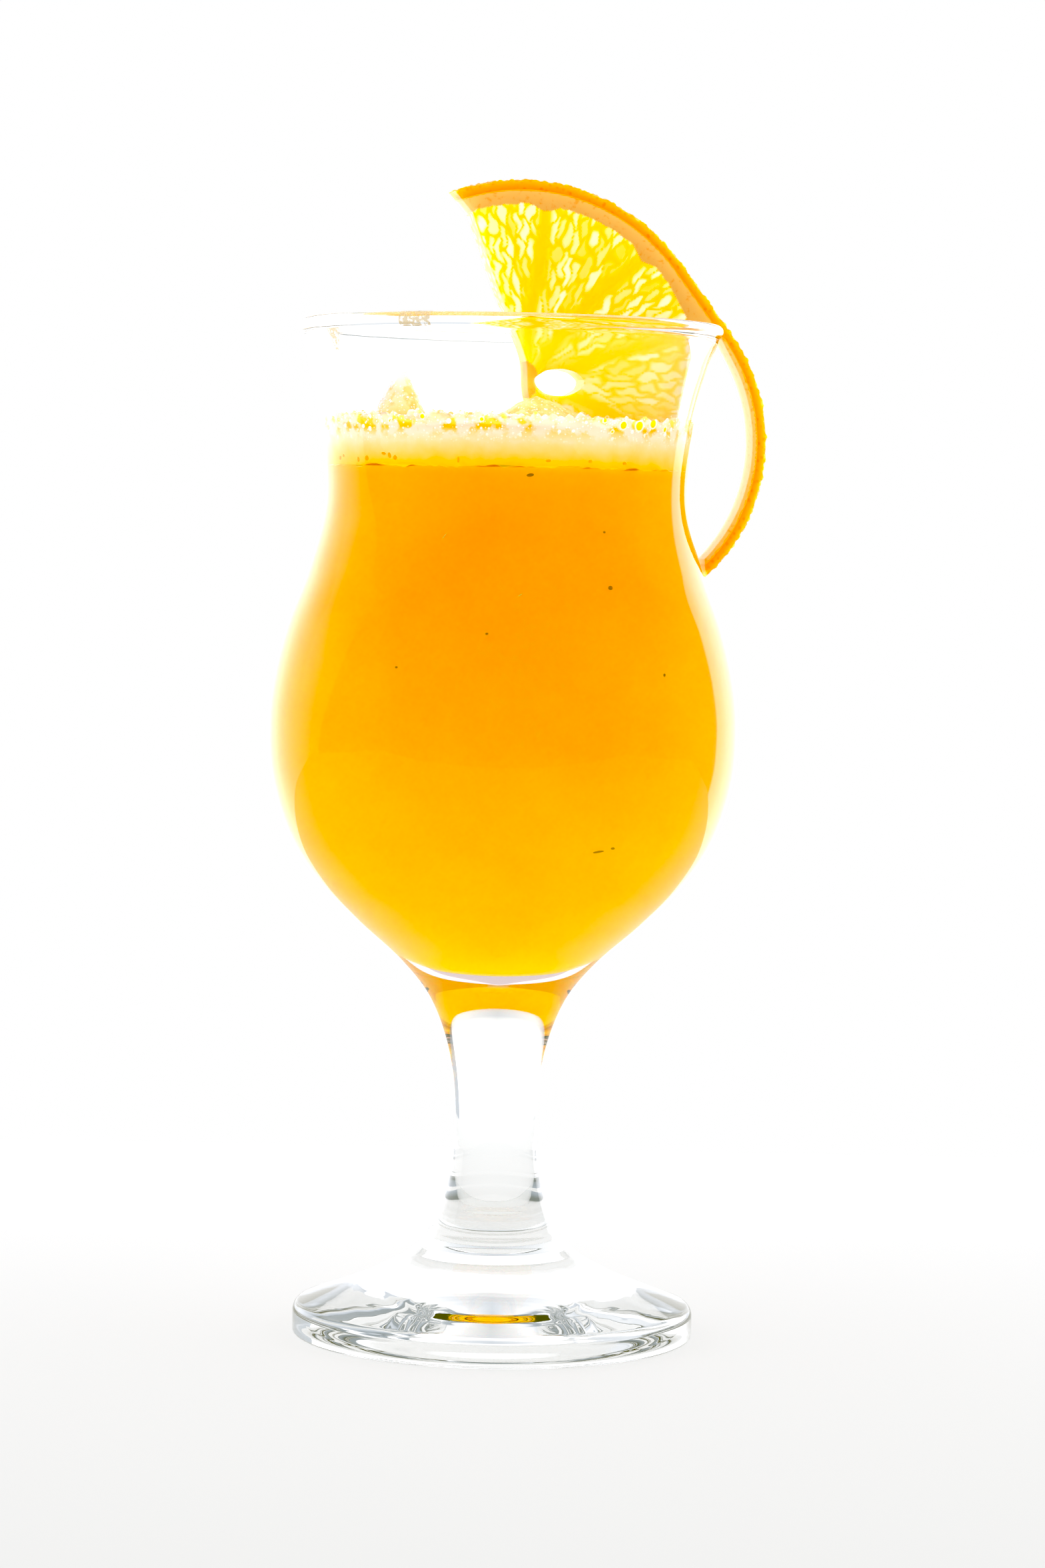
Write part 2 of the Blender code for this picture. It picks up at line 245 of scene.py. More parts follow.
# Flecks against the front wall: bearing in degrees, height, length and width in millimetres, slant in
# degrees, and kind: 0 orange pulp, 1 a dark speck, 2 a pale fibre
FLECKS = (
    (277.4, 153.2, 1.3, 0.6, 10, 1), (301.5, 133.9, 0.9, 0.8, 0, 1), (302, 143.5, 0.5, 0.4, 0, 1),
    (265.6, 125.9, 0.5, 0.4, 0, 1), (242.3, 119.9, 0.5, 0.4, 0, 1), (314.6, 119.2, 0.6, 0.5, 60, 1),
    (299.7, 89.9, 2.6, 0.5, 12, 1), (303.5, 90.4, 0.9, 0.6, -20, 1), (250.9, 142.3, 1.5, 0.2, 55, 2),
    (274.4, 132.5, 1, 0.2, 35, 2), (203.3, 155.9, 0.9, 0.7, 20, 0), (206, 156.3, 0.5, 0.5, 0, 0),
    (215, 155.6, 0.6, 0.9, 10, 0), (219.5, 155.8, 0.9, 0.9, 0, 0), (227.4, 156.6, 1, 0.5, -10, 0),
    (229.8, 156.3, 0.7, 1, 20, 0), (232, 155.9, 0.8, 0.8, 0, 0), (254.5, 155.6, 0.4, 1, 0, 0),
    (283, 155.7, 0.9, 0.5, 0, 0), (297, 155.8, 0.7, 0.5, 15, 0), (310, 155.6, 0.8, 0.5, 0, 0),
)
# How thick half a fleck is in millimetres, and how far its middle is inside the wall's surface
FLECK_DEPTH = 0.22
FLECK_REACH = 0.18 * MM
# Name, colour and glow of each kind
FLECK_LOOKS = (
    ("Orange pulp", (1, 0.34, 0), 0.5), ("Dark speck", (0.42, 0.16, 0.01), 0.2),
    ("Pale fibre", (1, 0.66, 0.2), 0.2),
)

# Orange slice: its plane stands on the axis of the glass and is turned about it by SLICE_TURN.
# In that plane, u runs outward from the axis and v upward.
SLICE_TURN = radians(14)
SLICE_CENTRE = (2 * MM, 168.9 * MM)
SLICE_THICKNESS = 5.6 * MM
SLICE_EDGE_BEVEL = 0.3 * MM
PEEL_RADIUS = 36.8 * MM
FLESH_RADIUS = 32 * MM
TIP_ANGLE = radians(111)
CUT_STATIONS_MM = ((16.2, 140.2), (9, 155), (3.2, 167), (2.2, 174.5), (-3.1, 186.8), (-7.8, 199.4))
FREE_ANGLE = radians(38.2)
STRIP_RUN = 15.4 * MM
STRIP_RADIUS = 31.9 * MM
STRIP_END_ANGLE = radians(-48.5)
STRIP_THICKNESS = 2.7 * MM
STRIP_INNER_END = radians(-45)
STRIP_INNER_START = radians(29)
SLOT_TOP = RIM_TOP + 0.45 * MM
WALL_CLEARANCE = 0.45 * MM
HOLE_CENTRE = (8.4 * MM, 170.2 * MM)
HOLE_SIZE = (4.5 * MM, 2.4 * MM)
HOLE_RAGGED = 0.05
HOLE_STEPS = 60
SLICE_GRID = 0.36 * MM
SLICE_SIDE_ROWS = 12
EDGE_STEP = 0.3 * MM
CORE_CENTRE = (2.2 * MM, 170.4 * MM)
CORE_SIZE = (2.3 * MM, 3.2 * MM)
# Peel: the zest and the depth over which it turns to pith, its pits and how far in they fade out, and the
# pith's border, which waves inward at the membranes
ZEST_DEPTH = 1.95 * MM
ZEST_BLUR = 0.25 * MM
PIT_SIZE = 1.05 * MM
PIT_DEPTH = 0.34 * MM
PIT_FADE = 1.4 * MM
PEEL_DEPTH = 4 * MM
PITH_BORDER = FLESH_RADIUS + 0.35 * MM
PITH_WAVE = 1.1 * MM
PITH_WAVE_WIDTH = 3 * MM
# Peel colours: 0 pith, 1 zest. The core has the colour at CORE_ZEST, out to CORE_HALO times its size.
PEEL_COLOURS = (
    (0, (0.62, 0.37, 0.14)), (0.25, (0.88, 0.3, 0.02)), (0.45, (0.66, 0.34, 0.1)),
    (0.6, (0.92, 0.19, 0)), (1, (1, 0.2, 0.01)),
)
CORE_ZEST = 0.25
CORE_HALO = 1.6
PEEL_SPOT_COLOUR = (0.62, 0.2, 0.02)
GLAND_COLOUR = (0.85, 0.12, 0)
# Vesicles fan out from FAN_CENTRE. Their length and width in millimetres near the core, and how much
# shorter and wider they are at the pith; how far apart their middles are at least, in vesicle sizes; and
# how much their outlines bend, along u and, VESICLE_BEND_APART away in the noise, along v
FAN_CENTRE = (3.2 * MM, 170.2 * MM)
FAN_ANGLES = (radians(-75), radians(118))
FAN_REACH = 33 * MM
VESICLE_LENGTH_MM = (8, 3.8)
VESICLE_WIDTH_MM = (0.9, 0.6)
VESICLE_SPACING = 0.78
VESICLE_TRIES = 5000
VESICLE_BEND = 0.9
VESICLE_BEND_SIZE = 2.2 * MM
VESICLE_BEND_APART = Vector((31.7, 12.3, 5.1))
VESICLE_BULGE = 0.3 * MM
FLESH_SUNK = 0.25 * MM
MEMBRANE_EDGE = (0.2 * MM, 0.6 * MM)
# The painted sheen in the vesicles' middles fades in between these distances from a membrane
MEMBRANE_SHINE = (0.3 * MM, 2.2 * MM)
# Flesh colours above the rim and inside the bowl: 0 at a vesicle's skin, 1 in its middle, whose paleness is
# partly the vesicle's own tone and partly a painted sheen
RIM_FLESH_COLOURS = (
    (0, (1, 0.4, 0)), (0.25, (1, 0.45, 0.04)), (0.5, (1, 0.52, 0.2)), (1, (1, 0.66, 0.55)),
)
# Painted light: inside the bowl the flesh is given paler colours, to brighten it where less light reaches it
BOWL_FLESH_COLOURS = (
    (0, (1, 0.5, 0)), (0.25, (1, 0.56, 0.05)), (0.5, (1, 0.63, 0.22)), (1, (1, 0.74, 0.5)),
)
# The cut sides have cells of this size, and inside the bowl they are less pale, with less of the painted
# sheen: by this share, and over this height under the rim
SIDE_VESICLE = 2 * MM
BOWL_SIDE_SHARE = 0.15
SIDE_FADE_HEIGHT = 6 * MM
# The share of scattered light that passes on through the slice, and its tints
LIGHT_THROUGH_SLICE = 0.75
LIGHT_THROUGH_PEEL = (1, 0.6, 0.2)
LIGHT_THROUGH_FLESH = (1, 0.9, 0.6)
# Membranes between the segments, each through these points of the slice's plane, in millimetres
MEMBRANES_MM = (
    ((5.3, 200.5), (4.6, 191.6), (2.6, 180.6), (2.6, 171)),
    ((23.4, 192.4), (16.2, 186.5), (9, 179.2), (4.2, 172.4)),
    ((33, 179.6), (21.3, 176.1), (10.8, 172.9), (5, 171)),
    ((32, 160), (20, 164), (12, 167.5), (5, 169.5)),
    ((24, 146), (16, 154), (10, 161), (5, 167.5)),
)


def smooth_curve(stations, steps):
    """Points on a smooth curve through the stations, with the given steps from each to the next."""
    knots = [Vector((r, z, 0)) for r, z in stations]
    last = len(knots) - 1
    tangents = [(knots[min(i + 1, last)] - knots[max(i - 1, 0)]).normalized() for i in range(last + 1)]
    points = [knots[0]]
    for i in range(last):
        reach = (knots[i + 1] - knots[i]).length / 3
        handle_a = knots[i] + tangents[i] * reach
        handle_b = knots[i + 1] - tangents[i + 1] * reach
        points += geometry.interpolate_bezier(knots[i], handle_a, handle_b, knots[i + 1], steps + 1)[1:]
    return [(p.x, p.y) for p in points]


def arc(centre, radius, start, end, steps):
    """Points on a circle's arc, both ends included."""
    angles = [start + (end - start) * i / steps for i in range(steps + 1)]
    return [(centre[0] + radius * cos(a), centre[1] + radius * sin(a)) for a in angles]


def in_metres(stations):
    """Stations given in millimetres, in metres."""
    return [(r * MM, z * MM) for r, z in stations]


def inner_wall():
    """The inside of the bowl, from its bottom on the axis up to the bead."""
    wall = smooth_curve(in_metres(INNER_STATIONS_MM), CURVE_STEPS)
    return [(0, wall[0][1])] + wall[1:]


def wall_radius(height):
    """Inner radius of the bowl at a height."""
    return float(np.interp(height, WALL_HEIGHTS, WALL_RADII))


WALL_RADII, WALL_HEIGHTS = zip(*inner_wall())


def polar(reach, turn, height):
    """A place by its distance from the axis, its bearing in radians and its height."""
    return (reach * cos(turn), reach * sin(turn), height)


def band(low, high, count):
    """Faces between two closed rings of count vertices, which start at the indices low and high."""
    steps = [(step, (step + 1) % count) for step in range(count)]
    return [(low + here, low + after, high + after, high + here) for here, after in steps]


def fan(start, count, tip):
    """Faces from a closed ring of count vertices to one vertex."""
    return [(start + step, start + (step + 1) % count, tip) for step in range(count)]


def lathe(profile, segments, wobble):
    """Vertices and faces of a turned solid, moved by wobble. The profile starts and ends on the axis."""
    turns = [2 * pi * step / segments for step in range(segments)]
    verts = [(0, 0, profile[0][1])]
    for r, z in profile[1:-1]:
        verts += [wobble(polar(r, turn, z)) for turn in turns]
    verts.append((0, 0, profile[-1][1]))
    starts = [1 + ring * segments for ring in range(len(profile) - 2)]
    faces = [face[::-1] for face in fan(1, segments, 0)]
    for low, high in zip(starts, starts[1:]):
        faces += band(low, high, segments)
    return verts, faces + fan(starts[-1], segments, len(verts) - 1)


def mesh_object(name, verts, faces, materials, slots=None):
    """A smooth-shaded object from vertices and faces, which rides on the part's one body."""
    mesh = bpy.data.meshes.new(name)
    mesh.from_pydata(verts, [], faces)
    mesh.shade_smooth()
    mesh.set_sharp_from_angle(angle=SHARP_ANGLE)
    for look in materials:
        mesh.materials.append(look)
    if slots is not None:
        mesh.polygons.foreach_set("material_index", slots)
    made = bpy.data.objects.new(name, mesh)
    bpy.context.scene.collection.objects.link(made)
    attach(made, "root")
    return made


def add_values(piece, name, values):
    """Stores a number for each vertex, for the piece's material to read."""
    layer = piece.data.attributes.new(name, "FLOAT", "POINT")
    layer.data.foreach_set("value", np.asarray(values, dtype=np.float32))


def ball():
    """Points and triangles of a ball of radius 1."""
    builder = bmesh.new()
    bmesh.ops.create_icosphere(builder, subdivisions=BALL_DETAIL, radius=1)
    points = np.array([tuple(v.co) for v in builder.verts])
    triangles = np.array([[v.index for v in face.verts] for face in builder.faces])
    builder.free()
    return points, triangles


def joined(shapes, triangles):
    """Vertices and faces of many shapes with the same triangles, in one."""
    faces = [triangles + number * len(shapes[0]) for number in range(len(shapes))]
    return np.concatenate(shapes).tolist(), np.concatenate(faces).tolist()


def set_inputs(node, values):
    """Gives a node's inputs numbers, colours without alpha, or the outputs of other nodes."""
    for name, value in values.items():
        socket = node.inputs[name]
        if isinstance(value, bpy.types.NodeSocket):
            node.id_data.links.new(value, socket)
        else:
            socket.default_value = (*value, 1) if socket.type == "RGBA" else value


def add(tree, kind, values):
    """A new node of a kind, with its inputs."""
    node = tree.nodes.new("ShaderNode" + kind)
    set_inputs(node, values)
    return node


def new_material(name, values):
    """A node material with the given inputs of its shader: the material, its node tree and the shader."""
    made = bpy.data.materials.new(name)
    made.use_nodes = True
    shader = made.node_tree.nodes["Principled BSDF"]
    set_inputs(shader, values)
    return made, made.node_tree, shader


def surface(tree, output):
    """An output of the Geometry node, such as Position or Normal."""
    return tree.nodes.new("ShaderNodeNewGeometry").outputs[output]


def part(tree, vector, axis):
    """The X, Y or Z of a vector socket."""
    return add(tree, "SeparateXYZ", {0: vector}).outputs[axis]


def read_values(tree, name):
    """The output socket of a stored number."""
    node = tree.nodes.new("ShaderNodeAttribute")
    node.attribute_name = name
    return node.outputs["Fac"]


def math_node(tree, operation, a, b=0):
    """A Math node's output. a and b are sockets or numbers."""
    node = add(tree, "Math", {0: a, 1: b})
    node.operation = operation
    return node.outputs[0]


def product(tree, a, b):
    """a times b."""
    return math_node(tree, "MULTIPLY", a, b)


def one_less(tree, value):
    """1 minus a value socket."""
    return math_node(tree, "SUBTRACT", 1, value)


def colour_ramp(tree, value, stops):
    """Colours along a value from 0 to 1: stops are (place, colour)."""
    ramp = tree.nodes.new("ShaderNodeValToRGB")
    elements = ramp.color_ramp.elements
    while len(elements) < len(stops):
        elements.new(0.5)
    for element, (place, colour) in zip(elements, stops):
        element.position = place
        element.color = (*colour, 1)
    set_inputs(ramp, {0: value})
    return ramp.outputs["Color"]


def mixed(tree, amount, first, second):
    """A mix of two colours or colour sockets by a value socket."""
    node = tree.nodes.new("ShaderNodeMix")
    node.data_type = "RGBA"
    set_inputs(node, {0: amount, 6: first, 7: second})
    return node.outputs[2]


def step_up(tree, value, low, high, bottom=0, top=1):
    """bottom where the value is under low, top where it is over high, and a ramp between."""
    return add(tree, "MapRange", {
        "Value": value, "From Min": low, "From Max": high, "To Min": bottom, "To Max": top,
    }).outputs[0]


def texture(tree, kind, size):
    """A solid texture node with features about size across."""
    return add(tree, kind, {"Scale": 1 / size, "Vector": surface(tree, "Position")})


def patches(tree, size, low, high):
    """Soft irregular patches of noise."""
    clouds = texture(tree, "TexNoise", size)
    set_inputs(clouds, {"Detail": 4})
    return step_up(tree, clouds.outputs["Fac"], low, high)


def bubble_dots(tree, size, share, largest):
    """1 inside round dots of many sizes: share of the cells have one, the largest fills that much of it."""
    cells = texture(tree, "TexVoronoi", size)
    chance = add(tree, "SeparateColor", {0: cells.outputs["Color"]}).outputs[0]
    reach = product(tree, math_node(tree, "SUBTRACT", chance, 1 - share), largest / share)
    return step_up(tree, math_node(tree, "SUBTRACT", reach, cells.outputs["Distance"]), 0, 0.08)


def scattered(tree, most=1):
    """0 for light that is seen straight or through glass, and most for light that has been scattered."""
    return math_node(tree, "MINIMUM", tree.nodes.new("ShaderNodeLightPath").outputs["Diffuse Depth"], most)


def blend_shaders(tree, amount, first, second):
    """Gives the material a blend of two shader nodes by a value socket."""
    mix = add(tree, "MixShader", {0: amount, 1: first.outputs[0], 2: second.outputs[0]})
    set_inputs(tree.nodes["Material Output"], {"Surface": mix.outputs[0]})


def mirror_at_grazing(tree, shader):
    """Adds the mirror-like reflection that thick glass has where it meets the drink at a low angle."""
    mirror = add(tree, "BsdfGlossy", {"Roughness": 0, "Color": BORDER_MIRROR})
    blend_shaders(tree, add(tree, "Fresnel", {"IOR": DRINK_TO_GLASS}).outputs[0], shader, mirror)


def let_light_through(tree, shader, tint):
    """Lets tinted light pass on to what lies behind, once it has been scattered."""
    clear = add(tree, "BsdfTransparent", {"Color": tint})
    blend_shaders(tree, scattered(tree, LIGHT_THROUGH_SLICE), shader, clear)


def make_camera():
    """The camera stands where the photograph was taken from."""
    data = bpy.data.cameras.new("camera")
    data.lens = CAMERA_LENS
    data.sensor_width = CAMERA_SENSOR
    data.sensor_fit = "AUTO"
    camera = bpy.data.objects.new("camera", data)
    bpy.context.scene.collection.objects.link(camera)
    camera.location = CAMERA_PLACE
    upright = Euler((radians(90) + CAMERA_PITCH, 0, 0)).to_matrix()
    camera.rotation_euler = (upright @ Matrix.Rotation(CAMERA_ROLL, 3, "Z")).to_euler()
    data.clip_start, data.clip_end = CAMERA_CLIP
    bpy.context.scene.camera = camera


def light_round(tree, turn, stations):
    """Brightness by bearing: turn is 0 straight in front of the glass, 0.5 behind it and 1 in front again."""
    brightest = max(value for place, value in stations)
    stops = [(place / 360 + 0.5, (value / brightest,) * 3) for place, value in stations]
    return product(tree, colour_ramp(tree, turn, stops), brightest)


def make_world():
    """A bright backlight, side reflectors and a dim room in front."""
    world = bpy.data.worlds.new("studio")
    bpy.context.scene.world = world
    world.use_nodes = True
    world.cycles.sampling_method = "NONE"
    tree = world.node_tree
    background = tree.nodes["Background"]
    direction = tree.nodes.new("ShaderNodeTexCoord").outputs["Generated"]
    x, y, z = [part(tree, direction, axis) for axis in "XYZ"]
    bearing = math_node(tree, "DEGREES", math_node(tree, "ARCTAN2", x, y))
    upward = math_node(tree, "DEGREES", math_node(tree, "ARCSINE", z))
    lean = product(tree, math_node(tree, "SUBTRACT", upward, LEAN_START), REFLECTOR_LEAN)
    on_left = math_node(tree, "LESS_THAN", bearing, LEFT_REFLECTOR)
    bearing = math_node(tree, "ADD", bearing, product(tree, lean, on_left))
    turn = math_node(tree, "ADD", math_node(tree, "DIVIDE", bearing, 360), 0.5)
    ceiling = step_up(tree, upward, CEILING_START, CEILING_FULL, 0, 1 - CEILING_LIGHT)
    in_glass = product(tree, light_round(tree, turn, LIGHT_IN_GLASS), one_less(tree, ceiling))
    light = mixed(tree, scattered(tree), in_glass, light_round(tree, turn, LIGHT_THROUGH_DRINK))
    seen = tree.nodes.new("ShaderNodeLightPath").outputs["Is Camera Ray"]
    strength = math_node(tree, "ADD", product(tree, light, one_less(tree, seen)), seen)
    set_inputs(background, {"Strength": strength})
    is_lit = math_node(tree, "MAXIMUM", step_up(tree, light, *DIM_TO_LIT), seen)
    set_inputs(background, {"Color": mixed(tree, is_lit, DIM_LIGHT, WHITE)})


def make_floor():
    """A white table top that ends a little way behind the glass."""
    look, tree, shader = new_material("White table", {
        "Base Color": FLOOR_GREY, "Roughness": 1, "Specular IOR Level": 0, "Emission Color": WHITE,
    })
    place = part(tree, surface(tree, "Position"), "Y")
    glow = step_up(tree, place, FLOOR_GLOW_START, FLOOR_BACK, FLOOR_GLOW_FRONT, FLOOR_GLOW_BACK)
    bounce = math_node(tree, "ADD", product(tree, scattered(tree), FLOOR_BOUNCE - 1), 1)
    set_inputs(shader, {"Emission Strength": product(tree, glow, bounce)})
    corners = [
        (-FLOOR_HALF_WIDTH, FLOOR_FRONT), (FLOOR_HALF_WIDTH, FLOOR_FRONT),
        (FLOOR_HALF_WIDTH, FLOOR_BACK), (-FLOOR_HALF_WIDTH, FLOOR_BACK),
    ]
    mesh = bpy.data.meshes.new("floor")
    mesh.from_pydata([(x, y, -FLOOR_DROP) for x, y in corners], [], [(0, 1, 2, 3)])
    mesh.materials.append(look)
    floor = bpy.data.objects.new("floor", mesh)
    bpy.context.scene.collection.objects.link(floor)


def ringed(profile):
    """The outer profile with the fine moulded rings at the bottom of the stem."""
    made = []
    for r, z in profile:
        gap = min(abs(z - height) for height in RING_HEIGHTS) / RING_WIDTH
        made.append((r + RING_RELIEF * max(0, 1 - gap * gap), z))
    return made


def ripple(place):
    """Moves a point of the foot's top by the soft ripples of pressed glass, which run round it."""
    x, y, z = place
    reach = hypot(x, y)
    if z < RIPPLE_BOTTOM or z > RIPPLE_TOP or reach < RIPPLE_START:
        return place
    turn = atan2(y, x)
    round_it = FOOT_RADIUS / RIPPLE_ALONG
    spot = Vector((reach / RIPPLE_ACROSS, round_it * cos(turn), round_it * sin(turn)))
    return (x, y, z + RIPPLE * noise.noise(spot))


def glass_profile():
    """Underside and edge of the foot, outside of stem and bowl, bead, and inside of the bowl."""
    hollow = smooth_curve(in_metres(HOLLOW_STATIONS_MM), CURVE_STEPS)
    foot_bottom = arc(
        (FOOT_RADIUS - FOOT_BOTTOM_ROUNDING, FOOT_BOTTOM_ROUNDING), FOOT_BOTTOM_ROUNDING, *FOOT_BOTTOM_ARC,
    )
    foot_top = arc((FOOT_RADIUS - FOOT_TOP_ROUNDING, FOOT_EDGE_TOP), FOOT_TOP_ROUNDING, *FOOT_TOP_ARC)
    outer = ringed(smooth_curve(in_metres(OUTER_STATIONS_MM), CURVE_STEPS))
    bead = arc((BEAD_CENTRE_RADIUS, RIM_TOP - BEAD_RADIUS), BEAD_RADIUS, *BEAD_ARC)
    return hollow + foot_bottom + foot_top + outer + bead + inner_wall()[::-1]


def make_glass():
    """Foot, solid stem, belly, waist and beaded rim, in one piece of clear glass."""
    look = new_material("Clear glass", {
        "Base Color": GLASS_COLOUR, "Transmission Weight": 1, "Roughness": 0, "IOR": GLASS_IOR,
    })[0]
    verts, faces = lathe(glass_profile(), GLASS_SEGMENTS, ripple)
    glass = mesh_object("clear_glass", verts, faces, [look])
    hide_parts("glass")


def layer_wave(x, y):
    """How far the uneven border between drink and foam is above the drink's level, zero off the wall."""
    place = Vector((x, y, 0))
    waves = noise.noise(place / LAYER_WAVE_SIZE) + 0.7 * noise.noise(place / (0.3 * LAYER_WAVE_SIZE))
    from_wall = wall_radius(JUICE_LEVEL) - hypot(x, y)
    return LAYER_WAVE * waves * max(0, 1 - from_wall / LAYER_WAVE_WIDTH)


def raise_border(place):
    """Moves a point of the drink's top up or down with the uneven border."""
    x, y, z = place
    return (x, y, z + layer_wave(x, y)) if z > JUICE_LEVEL - 0.01 * MM else place


def layer_light(colour):
    """For a hidden face between drink and foam: the light that would come through from the other layer."""
    return new_material("Light between the layers", {
        "Base Color": (0, 0, 0), "Emission Color": colour, "Emission Strength": LAYER_LIGHT,
    })[0]


def juice_material():
    """Cloudy juice, which light goes deep into."""
    look, tree, shader = new_material("Orange juice", {
        "Subsurface Weight": 1, "Subsurface Radius": JUICE_SCATTER_RADII, "Subsurface Scale": JUICE_SCATTER,
        "Specular IOR Level": 0, "Roughness": 0.3,
    })
    clouds = patches(tree, JUICE_CLOUDS, 0.3, 0.7)
    set_inputs(shader, {"Base Color": mixed(tree, clouds, *JUICE_COLOURS)})
    mirror_at_grazing(tree, shader)
    return look


def make_juice():
    """The drink up to its level, reaching just into the wall."""
    wall = inner_wall()
    side = [(r + INTO_WALL, z - INTO_WALL) for r, z in wall[1:] if z < JUICE_LEVEL]
    rim = (wall_radius(JUICE_LEVEL) + INTO_WALL, JUICE_LEVEL)
    bottom = (0, wall[0][1] - INTO_WALL)
    inner_ring = (wall_radius(JUICE_LEVEL) - LAYER_WAVE_WIDTH, JUICE_LEVEL)
    profile = [bottom] + side + [rim, inner_ring, (0, JUICE_LEVEL)]
    verts, faces = lathe(profile, JUICE_SEGMENTS, raise_border)
    juice = mesh_object("orange_juice", verts, faces, [juice_material(), layer_light(LIGHT_FROM_FOAM)])
    for face in juice.data.polygons:
        if face.normal.z > 0.9 and face.center.z > JUICE_LEVEL - 2 * LAYER_WAVE:
            face.material_index = 1
    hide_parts("juice")


def mound_centre(reach, bearing):
    """x and y of a mound's middle, from its place in millimetres and degrees."""
    return polar(reach * MM, radians(bearing), 0)[:2]


def foam_height(x, y):
    """Height of the foam's uneven top: it climbs the wall, banks against the slice and has mounds."""
    edge = wall_radius(FOAM_LEVEL)
    climb = max(0, 1 - (edge - hypot(x, y)) / FOAM_CLIMB_WIDTH)
    height = FOAM_LEVEL + FOAM_CLIMB * climb ** 2
    for reach, bearing, rise, radius in FOAM_MOUNDS:
        mound_x, mound_y = mound_centre(reach, bearing)
        distance = hypot(x - mound_x, y - mound_y) / (radius * MM)
        height += rise * MM * max(0, 1 - distance) ** FOAM_MOUND_POWER
    bank_x, bank_y = [value * MM for value in FOAM_BANK_CENTRE_MM]
    bank = max(0, 1 - hypot(x - bank_x, y - bank_y) / FOAM_BANK_RADIUS)
    grain = Vector((x, y, 0)) / FOAM_BUMP_SIZE
    return height + FOAM_BANK_RISE * bank + FOAM_BUMP * noise.noise(grain)


def dome(place, size):
    """How far out on its dome a place is: 0 in the middle, 1 at the edge, with domes about size apart."""
    return min(1, noise.voronoi(place / size)[0][0] / DOME_RADIUS)


def froth(x, y):
    """Height of the froth on the foam: small domes side by side, larger ones along the wall."""
    place = Vector((x, y, FOAM_LEVEL))
    from_wall = wall_radius(FOAM_LEVEL) - hypot(x, y)
    near_wall = max(0, 1 - from_wall / FOAM_EDGE_GRAIN_WIDTH)
    height = FOAM_GRAIN * (1 - dome(place, FOAM_GRAIN_SIZE) ** 2)
    return height + FOAM_EDGE_GRAIN * near_wall * (0.7 - dome(place, FOAM_EDGE_GRAIN_SIZE) ** 2)


def foam_top(x, y):
    """Height of the foam's top with its froth."""
    return foam_height(x, y) + froth(x, y)


def foam_material():
    """Froth: painted golden where the drink shines through, cream higher up, with white dots painted as the
    glints of its bubbles, and deep patches.
    """
    look, tree, shader = new_material("Juice foam", {
        "Subsurface Weight": 1, "Subsurface Radius": FOAM_SCATTER_RADII, "Specular IOR Level": 0.2,
        "Roughness": 0.35,
    })
    rise = read_values(tree, "rise")
    upper = step_up(tree, rise, 0.45, 0.7)
    peak = step_up(tree, rise, 0.95, 1.25)
    on_top = step_up(tree, part(tree, surface(tree, "Normal"), "Z"), 0.3, 0.7)
    uneven = math_node(tree, "SUBTRACT", patches(tree, FOAM_UNEVEN_SIZE, 0.2, 0.8), 0.5)
    uneven = math_node(tree, "ADD", rise, product(tree, uneven, FOAM_UNEVEN))
    # Painted light: the ramp by height gives the lower foam the drink's golden glow
    colour = mixed(tree, peak, colour_ramp(tree, uneven, FOAM_COLOURS), FOAM_PEAK_COLOUR)
    colour = mixed(tree, on_top, colour, FOAM_TOP_COLOUR)
    deep = product(tree, patches(tree, FOAM_DEEP_SIZE, 0.47, 0.58), upper)
    deep = product(tree, deep, one_less(tree, product(tree, on_top, FEWER_ON_TOP)))
    colour = mixed(tree, deep, colour, FOAM_DEEP_COLOUR)
    # Painted glints: white dots where the froth's bubbles shine
    fine = product(tree, bubble_dots(tree, *FINE_DOTS), step_up(tree, rise, 0.4, 0.75))
    large = product(tree, bubble_dots(tree, *LARGE_DOTS), upper)
    dots = math_node(tree, "MAXIMUM", product(tree, fine, FINE_DOTS_STRENGTH), large)
    colour = mixed(tree, dots, colour, WHITE)
    hollow = read_values(tree, "hollow")
    colour = mixed(tree, step_up(tree, hollow, 0, 0.12), colour, HOLLOW_RIM_COLOUR)
    colour = mixed(tree, step_up(tree, hollow, 0.18, 0.3), colour, HOLLOW_COLOUR)
    set_inputs(shader, {"Base Color": colour})
    depth = colour_ramp(tree, rise, [(place, (value,) * 3) for place, value in FOAM_SCATTER])
    depth = math_node(tree, "ADD", depth, product(tree, peak, PEAK_SCATTER))
    set_inputs(shader, {"Subsurface Scale": depth})
    return look


def hollows(verts):
    """How deep inside one of the foam's hollows each point is: 0 outside, 1 in the middle."""
    places = np.array(verts)
    depth = np.zeros(len(places))
    for bearing, height, radius in FOAM_HOLLOWS:
        middle = np.array(polar(wall_radius(height * MM), radians(bearing), height * MM))
        away = np.linalg.norm(places - middle, axis=1) / (radius * MM)
        depth = np.maximum(depth, np.clip(1 - away, 0, 1))
    return depth


def foam_turns():
    """Bearings round the foam's edge, closer together on the front half."""
    front = [pi * (1 + step / FOAM_FRONT_TURNS) for step in range(FOAM_FRONT_TURNS)]
    back = [pi * step / FOAM_BACK_TURNS for step in range(FOAM_BACK_TURNS)]
    return back + front


